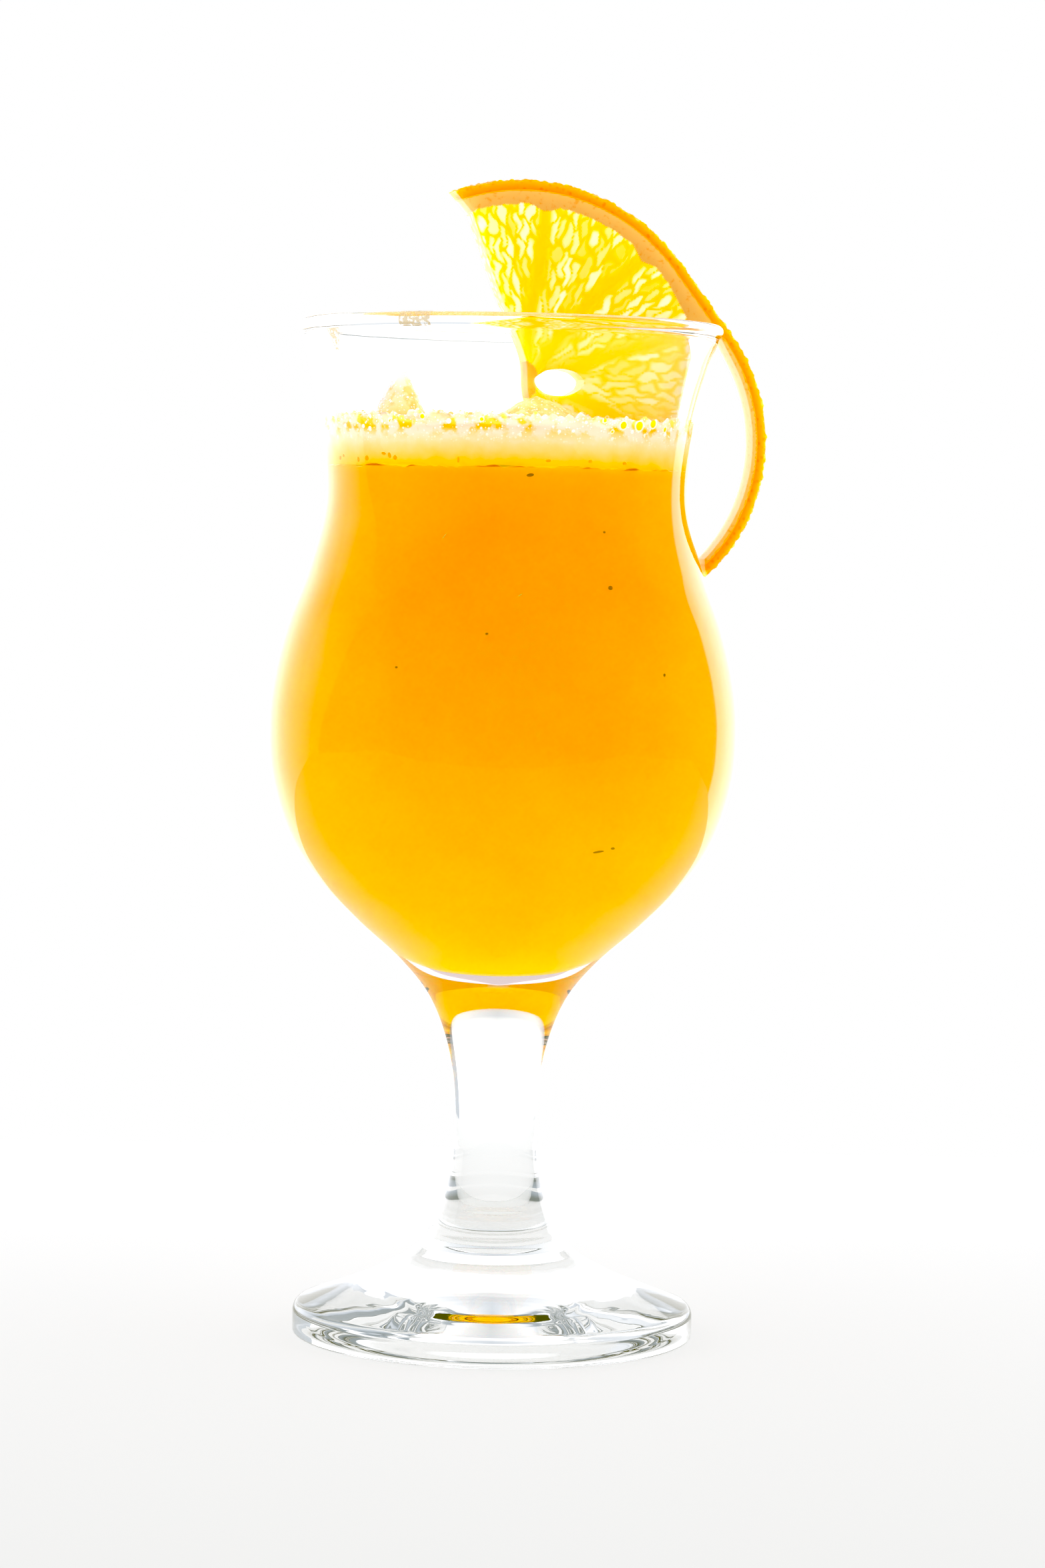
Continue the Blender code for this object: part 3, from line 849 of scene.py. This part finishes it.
def make_foam():
    """The foam head: it reaches just into the wall, and its top is uneven and frothy."""
    bottom = JUICE_LEVEL + FOAM_LIFT
    edge = wall_radius(FOAM_LEVEL)
    rim = wall_radius(JUICE_LEVEL) + INTO_WALL
    turns = foam_turns()
    around = len(turns)
    tops = [foam_top(*polar(edge, turn, 0)[:2]) for turn in turns]
    verts = []
    for row in range(FOAM_SIDE_ROWS):
        for turn, top in zip(turns, tops):
            border = bottom + layer_wave(*polar(rim, turn, 0)[:2])
            z = border + (top - border) * row / FOAM_SIDE_ROWS
            verts.append(polar(wall_radius(z) + INTO_WALL, turn, z))
    for row in range(FOAM_RINGS):
        inward = (row / FOAM_RINGS) ** FOAM_RING_POWER
        for turn, top in zip(turns, tops):
            x, y, z = polar((wall_radius(top) + INTO_WALL) * (1 - inward), turn, top)
            verts.append((x, y, z if row == 0 else foam_top(x, y)))
    verts.append((0, 0, foam_height(0, 0)))
    starts = [ring * around for ring in range(FOAM_SIDE_ROWS + FOAM_RINGS)]
    faces = []
    for low, high in zip(starts, starts[1:]):
        faces += band(low, high, around)
    faces += fan(starts[-1], around, len(verts) - 1)
    faces.append(tuple(reversed(range(around))))
    slots = [0] * (len(faces) - 1) + [1]
    foam = mesh_object("juice_foam", verts, faces, [foam_material(), layer_light(LIGHT_FROM_JUICE)], slots)
    add_values(foam, "rise", [(v[2] - bottom) / (FOAM_RISE_TOP - bottom) for v in verts])
    add_values(foam, "hollow", hollows(verts))
    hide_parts("foam")


def fleck_material(name, colour, glow):
    """Wet pulp or a speck, with a little mottling. glow is the light that comes to it through the drink."""
    look, tree, shader = new_material(name, {
        "Roughness": 0.5, "Emission Color": colour, "Emission Strength": glow,
    })
    darker = tuple(0.7 * value for value in colour)
    mottling = mixed(tree, patches(tree, 0.4 * MM, 0.4, 0.6), colour, darker)
    set_inputs(shader, {"Base Color": mottling})
    return look


def make_flecks():
    """Specks, fibres and drops of pulp against the front wall, each a flattened ball sunk in the drink."""
    points, triangles = ball()
    shapes, slots = [], []
    for bearing, height, length, width, slant, kind in FLECKS:
        turn = radians(bearing)
        shape = points * np.array((FLECK_DEPTH, 0.5 * length, 0.5 * width)) * MM
        turned = Matrix.Rotation(turn, 3, "Z") @ Matrix.Rotation(radians(slant), 3, "X")
        middle = polar(wall_radius(height * MM) + FLECK_REACH, turn, height * MM)
        shapes.append(shape @ np.array(turned).T + np.array(middle))
        slots += [kind] * len(triangles)
    looks = [fleck_material(*look) for look in FLECK_LOOKS]
    mesh_object("pulp_flecks", *joined(shapes, triangles), looks, slots)


def bubble_places():
    """Middles and radii of the bubbles: along the front edge, on the mounds and over the top."""
    draw = np.random.default_rng(5)
    small, large = BUBBLE_SIZES
    edge = wall_radius(FOAM_LEVEL)
    spots = []
    for number in range(BUBBLES_ON_EDGE):
        turn = draw.uniform(pi, 2 * pi)
        size = small + (large - small) * draw.uniform() ** 3
        spots.append((edge - size, turn, size, draw.uniform(*BUBBLE_LIFT) * MM))
    for reach, bearing, rise, radius in FOAM_MOUNDS:
        mound_x, mound_y = mound_centre(reach, bearing)
        for number in range(BUBBLES_ON_MOUND):
            size = small + (large - small) * draw.uniform() ** 3
            angle = draw.uniform(0, 2 * pi)
            away = radius * MM * 0.8 * sqrt(draw.uniform())
            x, y = mound_x + away * cos(angle), mound_y + away * sin(angle)
            spots.append((min(hypot(x, y), edge - size), atan2(y, x), size, 0))
    for number in range(BUBBLES_ON_TOP):
        size = small + (large - small) * draw.uniform() ** 3
        spots.append((edge * sqrt(draw.uniform()) - size, draw.uniform(0, 2 * pi), size, 0))
    places = []
    for reach, turn, size, lift in spots:
        x, y, z = polar(reach, turn, lift)
        places.append((np.array((x, y, z + foam_top(x, y))), size))
    return places


def make_bubbles():
    """Clear wet bubbles on the foam, in one piece."""
    look = new_material("Foam bubbles", {
        "Base Color": BUBBLE_COLOUR, "Transmission Weight": 1, "IOR": BUBBLE_IOR, "Roughness": 0,
    })[0]
    points, triangles = ball()
    shapes = [points * size + place for place, size in bubble_places()]
    mesh_object("foam_bubbles", *joined(shapes, triangles), [look])


def smear_material():
    """A dried, broken film of foam."""
    look, tree, shader = new_material("Dried foam", {"Base Color": SMEAR_COLOUR, "Roughness": 0.6})
    cover = product(tree, patches(tree, 0.6 * MM, 0.36, 0.52), SMEAR_COVER)
    set_inputs(shader, {"Alpha": cover})
    return look


def swelling(bearing, along):
    """How far the dried film stands off the glass, a little uneven."""
    return SMEAR_LIFT * (1 + noise.noise(Vector((bearing * 30, along, 0))))


def on_bead(bearing, share, low, high):
    """A place just off the bead: share runs from 0 at the angle low to 1 at the angle high."""
    lean = radians(low + (high - low) * share)
    radius = BEAD_RADIUS + swelling(bearing, lean * 2)
    z = RIM_TOP - BEAD_RADIUS + radius * sin(lean)
    return polar(BEAD_CENTRE_RADIUS + radius * cos(lean), bearing, z)


def on_wall(bearing, share, low, high):
    """A place just off the outside of the wall: share runs from 0 at the height low to 1 at high."""
    z = (low + (high - low) * share) * MM
    radii, heights = zip(*smooth_curve(in_metres(OUTER_STATIONS_MM[-4:]), CURVE_STEPS))
    return polar(float(np.interp(z, heights, radii)) + swelling(bearing, z / MM), bearing, z)


def make_rim_smears():
    """Thin dried smears on the beaded rim and on the wall under it, where they narrow downwards."""
    smears = [(on_bead, 1, *smear) for smear in RIM_SMEARS]
    smears += [(on_wall, 0.25, *smear) for smear in WALL_SMEARS]
    verts, faces = [], []
    for place, low_width, first, last, low, high in smears:
        columns = round((last - first) / SMEAR_STEP)
        start = len(verts)
        for column in range(columns + 1):
            for row in range(SMEAR_ROWS + 1):
                share = row / SMEAR_ROWS
                width = (last - first) * (low_width + (1 - low_width) * share)
                bearing = 0.5 * (first + last) + width * (column / columns - 0.5)
                verts.append(place(radians(bearing), share, low, high))
        for column in range(columns):
            for row in range(SMEAR_ROWS):
                corner = start + column * (SMEAR_ROWS + 1) + row
                faces.append((corner, corner + SMEAR_ROWS + 1, corner + SMEAR_ROWS + 2, corner + 1))
    mesh_object("rim_smears", verts, faces, [smear_material()])


def cut_edge():
    """The slice's cut from its low end past the core up to the peel."""
    return smooth_curve(in_metres(CUT_STATIONS_MM), CURVE_STEPS)


def low_end_angle():
    """Angle about the slice's centre of the cut's low end."""
    low_u, low_v = in_metres(CUT_STATIONS_MM)[0]
    return atan2(low_v - SLICE_CENTRE[1], low_u - SLICE_CENTRE[0])


def strip_centre():
    """Centre of the free strip's arc, which carries on smoothly from the peel's straight run."""
    shrink = PEEL_RADIUS - STRIP_RADIUS
    return (
        SLICE_CENTRE[0] + STRIP_RUN * sin(FREE_ANGLE) + shrink * cos(FREE_ANGLE),
        SLICE_CENTRE[1] - STRIP_RUN * cos(FREE_ANGLE) + shrink * sin(FREE_ANGLE),
    )


def outer_edge():
    """The outside of the peel from its tip to the end of the free strip."""
    peel = arc(SLICE_CENTRE, PEEL_RADIUS, TIP_ANGLE, FREE_ANGLE, 120)
    return peel + arc(strip_centre(), STRIP_RADIUS, FREE_ANGLE, STRIP_END_ANGLE, 120)


def slice_outline():
    """The slice seen face on, clockwise from its tip: peel, free strip, slot for the wall, flesh, cut."""
    strip_in = arc(strip_centre(), STRIP_RADIUS - STRIP_THICKNESS, STRIP_INNER_END, STRIP_INNER_START, 100)
    bead_centre = (BEAD_CENTRE_RADIUS, RIM_TOP - BEAD_RADIUS)
    over_bead = arc(bead_centre, BEAD_RADIUS + WALL_CLEARANCE, radians(-15), radians(50), 8)
    slot_outer = (over_bead[-1][0], SLOT_TOP)
    slot_angle = asin((SLOT_TOP - SLICE_CENTRE[1]) / FLESH_RADIUS)
    flesh = []
    for u, v in arc(SLICE_CENTRE, FLESH_RADIUS, slot_angle, low_end_angle(), 140):
        flesh.append((min(u, wall_radius(v) - WALL_CLEARANCE), v))
    return outer_edge() + strip_in + over_bead + [slot_outer] + flesh[:-1] + cut_edge()


def evenly(line, spacing, closed):
    """Points about the spacing apart along a line, its far end left out."""
    line = np.array(line + line[:1] if closed else line)
    lengths = np.concatenate(([0], np.cumsum(np.hypot(*np.diff(line, axis=0).T))))
    count = ceil(lengths[-1] / spacing)
    stops = np.linspace(0, lengths[-1], count + 1)[:-1]
    return np.stack((np.interp(stops, lengths, line[:, 0]), np.interp(stops, lengths, line[:, 1])), 1)


def moved_inward(loop, distance):
    """A clockwise loop moved inward, less at its sharp corners."""
    behind, ahead = loop - np.roll(loop, 2, 0), np.roll(loop, -2, 0) - loop
    behind /= np.hypot(*behind.T)[:, None]
    ahead /= np.hypot(*ahead.T)[:, None]
    along = behind + ahead
    size = np.hypot(*along.T)[:, None]
    inward = np.stack((along[:, 1], -along[:, 0]), 1) / np.maximum(size, 1e-6)
    return loop + inward * distance * (0.5 * size) ** 2


def inside(points, loop):
    """Which points lie inside a closed loop."""
    x, y = points[:, 0], points[:, 1]
    result = np.zeros(len(points), bool)
    for (ax, ay), (bx, by) in zip(loop, loop[1:] + loop[:1]):
        if ay != by:
            crosses = (ay > y) != (by > y)
            result ^= crosses & (x < (bx - ax) * (y - ay) / (by - ay) + ax)
    return result


def nearest_on(points, line):
    """Distance of each point from a line of points, and the index of the nearest one."""
    line = np.array(line)
    distance = np.empty(len(points))
    index = np.empty(len(points), int)
    for start in range(0, len(points), BATCH):
        batch = slice(start, start + BATCH)
        gap = points[batch, None, :] - line[None, :, :]
        length = np.hypot(gap[..., 0], gap[..., 1])
        index[batch] = length.argmin(1)
        distance[batch] = length.min(1)
    return distance, index


def smooth_step(value, low, high):
    """0 below low, 1 above high and a smooth rise between them."""
    t = np.clip((value - low) / (high - low), 0, 1)
    return t * t * (3 - 2 * t)


def vesicle_seeds():
    """Middles of the juice vesicles: long ones near the core and shorter ones near the pith."""
    draw = np.random.default_rng(7)
    seeds = np.empty((0, 2))
    middle = np.array(FAN_CENTRE)
    for attempt in range(VESICLE_TRIES):
        angle = draw.uniform(*FAN_ANGLES)
        reach = FAN_REACH * sqrt(draw.uniform(0.01, 1))
        place = middle + reach * np.array((cos(angle), sin(angle)))
        if len(seeds) == 0 or vesicle_distance(place[None, :], seeds).min() > VESICLE_SPACING:
            seeds = np.vstack((seeds, place))
    return seeds


def vesicle_distance(points, seeds):
    """Distances from each point to each seed, in vesicle sizes, which are longer towards the core."""
    out = seeds - np.array(FAN_CENTRE)
    reach = np.hypot(out[:, 0], out[:, 1])
    along = out / reach[:, None]
    outward = np.clip(reach / (30 * MM), 0, 1)
    length = (VESICLE_LENGTH_MM[0] - VESICLE_LENGTH_MM[1] * outward) * MM
    width = (VESICLE_WIDTH_MM[0] + VESICLE_WIDTH_MM[1] * outward) * MM
    gap = points[:, None, :] - seeds[None, :, :]
    radial = gap[..., 0] * along[:, 0] + gap[..., 1] * along[:, 1]
    across = gap[..., 0] * along[:, 1] - gap[..., 1] * along[:, 0]
    return np.hypot(radial / length, across / width)


def flesh_pattern(points):
    """How pale, how far from a vesicle's skin and how near a membrane each point of the slice is."""
    seeds = vesicle_seeds()
    tone = np.random.default_rng(11).uniform(0, 1, len(seeds))
    wave = []
    for u, v in points:
        place = Vector((u, v, 0)) / VESICLE_BEND_SIZE
        wave.append((noise.noise(place), noise.noise(place + VESICLE_BEND_APART)))
    bent = points + np.array(wave) * VESICLE_BEND * MM
    skin = np.empty(len(points))
    pale = np.empty(len(points))
    for start in range(0, len(points), BATCH):
        batch = slice(start, start + BATCH)
        distance = vesicle_distance(bent[batch], seeds)
        order = np.argsort(distance, axis=1)[:, :2]
        rows = np.arange(len(distance))
        skin[batch] = distance[rows, order[:, 1]] - distance[rows, order[:, 0]]
        pale[batch] = tone[order[:, 0]]
    membrane = np.ones(len(points))
    for stations in MEMBRANES_MM:
        line = smooth_curve(in_metres(stations), 40)
        membrane = np.minimum(membrane, nearest_on(points, line)[0])
    return pale, skin, membrane


def side_pattern(places):
    """How pale, and how far from a vesicle's skin, each point of the slice's cut sides is."""
    pale, skin = [], []
    for place in places:
        gaps, middles = noise.voronoi(Vector(place) / SIDE_VESICLE)
        skin.append(gaps[1] - gaps[0])
        pale.append(0.5 + 0.5 * noise.noise(middles[0] * 5.3))
    return np.array(pale), np.array(skin)


def fine_triangles(loop, hole):
    """Points and triangles that fill a loop round a hole: the loop and the hole come first."""
    low, high = np.min(loop, 0), np.max(loop, 0)
    rows = np.arange(low[1], high[1], SLICE_GRID * sqrt(0.75))
    columns = np.arange(low[0], high[0], SLICE_GRID)
    grid = np.array([
        (u + SLICE_GRID * 0.5 * (i % 2), v) for i, v in enumerate(rows) for u in columns
    ])
    keep = inside(grid, loop) & ~inside(grid, hole)
    grid = grid[keep]
    clear = nearest_on(grid, loop + hole)[0] > 0.6 * SLICE_GRID
    grid = grid[clear]
    points = [Vector(p) for p in loop + hole + grid.tolist()]
    rims = [list(range(len(loop))), list(range(len(loop), len(loop) + len(hole)))]
    faces, origin = geometry.delaunay_2d_cdt(points, [], rims, 2, 1e-9)[2:4]
    source = [ids[0] for ids in origin]
    return [tuple(p) for p in points], [tuple(source[i] for i in face) for face in faces]


def peel_material():
    """Orange zest over tan pith: the stored zest number is 1 in the zest."""
    look, tree, shader = new_material("Orange peel", {
        "Subsurface Weight": 1, "Subsurface Radius": (1, 0.95, 0.85), "Subsurface Scale": 0.014,
        "Roughness": 0.35,
    })
    zest = read_values(tree, "zest")
    spots = product(tree, patches(tree, 0.9 * MM, 0.56, 0.68), 0.5)
    colour = mixed(tree, spots, colour_ramp(tree, zest, PEEL_COLOURS), PEEL_SPOT_COLOUR)
    gland = one_less(tree, step_up(tree, read_values(tree, "pit"), 0.15, 0.4))
    gland = product(tree, gland, step_up(tree, zest, 0.5, 0.7))
    set_inputs(shader, {"Base Color": mixed(tree, gland, colour, GLAND_COLOUR)})
    let_light_through(tree, shader, LIGHT_THROUGH_PEEL)
    return look


def flesh_material():
    """Wet, glowing flesh: pale inside the vesicles, partly their own tone and partly a painted sheen, deep
    yellow along their skins, and painted paler inside the bowl.
    """
    look, tree, shader = new_material("Orange flesh", {
        "Subsurface Weight": 1, "Subsurface Radius": (1.3, 1, 0.6), "Subsurface Scale": 0.025,
        "Roughness": 0.2,
    })
    # The pale values carry the vesicles' own tone together with their painted sheen
    pale = read_values(tree, "pale")
    # Painted light: the paler colours inside the bowl brighten the flesh there
    wet = colour_ramp(tree, pale, BOWL_FLESH_COLOURS)
    near_rim = colour_ramp(tree, pale, RIM_FLESH_COLOURS)
    height = part(tree, surface(tree, "Position"), "Z")
    above = step_up(tree, height, RIM_TOP - 3 * MM, RIM_TOP + 1 * MM)
    set_inputs(shader, {"Base Color": mixed(tree, above, wet, near_rim)})
    let_light_through(tree, shader, LIGHT_THROUGH_FLESH)
    return look


def hole_outline():
    """The ragged hole beside the core."""
    hole = []
    for step in range(HOLE_STEPS):
        angle = -2 * pi * step / HOLE_STEPS
        ragged = 1 + HOLE_RAGGED * noise.noise(Vector((cos(angle), sin(angle), 3)) * 2)
        u = HOLE_CENTRE[0] + ragged * HOLE_SIZE[0] * cos(angle)
        v = HOLE_CENTRE[1] + ragged * HOLE_SIZE[1] * sin(angle)
        hole.append((u, v))
    return hole


def slice_mesh(full, inset, hole):
    """Points and faces of the plain slice, and the indices where the back's and the sides' points start."""
    half = SLICE_THICKNESS / 2
    flat, triangles = fine_triangles(inset, hole)
    depths = np.linspace(SLICE_EDGE_BEVEL - half, half - SLICE_EDGE_BEVEL, SLICE_SIDE_ROWS)
    places = [(u, depth, v) for depth in (-half, half) for u, v in flat]
    back, sides = len(flat), len(places)
    places += [(u, depth, v) for depth in depths for u, v in full]
    hole_sides = len(places)
    places += [(u, depth, v) for depth in depths for u, v in hole]
    faces = triangles + [tuple(back + i for i in reversed(face)) for face in triangles]
    for on_front, start, count in ((0, sides, len(inset)), (len(inset), hole_sides, len(hole))):
        rings = [on_front] + [start + row * count for row in range(SLICE_SIDE_ROWS)] + [back + on_front]
        for near, far in zip(rings, rings[1:]):
            faces += band(near, far, count)
    return np.array(places), faces, back, sides


def make_orange_slice():
    """Half a slice of orange: pitted zest, pith, membranes and bulging vesicles, in one closed piece."""
    full = evenly(slice_outline(), SLICE_GRID, True)
    inset = moved_inward(full, SLICE_EDGE_BEVEL).tolist()
    hole = hole_outline()
    places, faces, back, sides = slice_mesh(full, inset, hole)
    edges = len(inset) + len(hole)
    points = places[:, (0, 2)]
    edge_line = evenly(outer_edge(), EDGE_STEP, False)
    depth_in, nearest = nearest_on(points, edge_line)
    pale, skin, membrane = flesh_pattern(points)
    pale[sides:], skin[sides:] = side_pattern(places[sides:])

    # Which points are flesh: not peel, not core
    reach = np.hypot(*(points - np.array(SLICE_CENTRE)).T)
    core_gap = np.hypot(*((points - np.array(CORE_CENTRE)) / np.array(CORE_SIZE)).T)
    dip = PITH_WAVE * (1 - smooth_step(membrane, 0, PITH_WAVE_WIDTH))
    is_flesh = (reach < PITH_BORDER - dip) & (depth_in > PEEL_DEPTH) & (core_gap > 1)

    # Pits in the peel, from the places before anything is moved
    pits = np.array([noise.voronoi(Vector(p) / PIT_SIZE)[0][0] for p in places])
    along = np.gradient(edge_line, axis=0)
    outward = np.stack((-along[:, 1], along[:, 0]), 1) / np.hypot(*along.T)[:, None]
    # This rises to 1 at the rim; lower down, inside the bowl, the cut sides get less painted sheen
    near_rim = smooth_step(places[sides:, 2], RIM_TOP - SIDE_FADE_HEIGHT, RIM_TOP)
    near_edge = 1 - smooth_step(depth_in, 0, PIT_FADE)
    fall = -PIT_DEPTH * np.clip(pits / DOME_RADIUS, 0, 1) ** 2 * near_edge
    places[:, (0, 2)] += outward[nearest] * fall[:, None]

    # Bulging vesicles on the front and the back
    bulge = smooth_step(skin, 0, 0.45) * smooth_step(membrane, *MEMBRANE_EDGE)
    lift = np.where(is_flesh, VESICLE_BULGE * bulge - FLESH_SUNK, 0)
    face_side = np.zeros(len(places))
    face_side[edges:back] = -1
    face_side[back + edges:sides] = 1
    places[:, 1] += face_side * lift

    slots = [1 if is_flesh[list(face)].mean() > 0.5 else 0 for face in faces]
    looks = [peel_material(), flesh_material()]
    piece = mesh_object("orange_half_slice", places.tolist(), faces, looks, slots)
    piece.data.transform(Matrix.Rotation(SLICE_TURN, 4, "Z"))
    # Less of the pale tone and painted sheen on the cut sides inside the bowl
    pale_share = np.ones(len(places))
    pale_share[sides:] = BOWL_SIDE_SHARE + (1 - BOWL_SIDE_SHARE) * near_rim
    # shine is a painted sheen in the middles of the vesicles, weaker near the membranes; it is stored with
    # their own tone as the pale values
    shine = smooth_step(skin, 0, 0.42) * (0.3 + 0.7 * pale) * smooth_step(membrane, *MEMBRANE_SHINE)
    zest = 1 - smooth_step(depth_in, ZEST_DEPTH - ZEST_BLUR, ZEST_DEPTH + ZEST_BLUR)
    add_values(piece, "pale", shine * pale_share)
    add_values(piece, "zest", np.where(core_gap < CORE_HALO, CORE_ZEST, zest))
    add_values(piece, "pit", pits)
    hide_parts("orange_slice")


def set_look():
    """Plain tone mapping, and enough bounces for thick glass."""
    scene = bpy.context.scene
    scene.view_settings.view_transform = "Standard"
    scene.view_settings.look = "None"
    scene.view_settings.use_curve_mapping = True
    scene.view_settings.curve_mapping.black_level = (0, 0, BLUE_CUT)
    scene.cycles.max_bounces = 20
    scene.cycles.transmission_bounces = 16
    scene.cycles.diffuse_bounces = 5
    scene.cycles.glossy_bounces = 8


make_camera()
make_world()
make_floor()
make_glass()
make_juice()
make_foam()
make_flecks()
make_bubbles()
make_rim_smears()
make_orange_slice()
set_look()
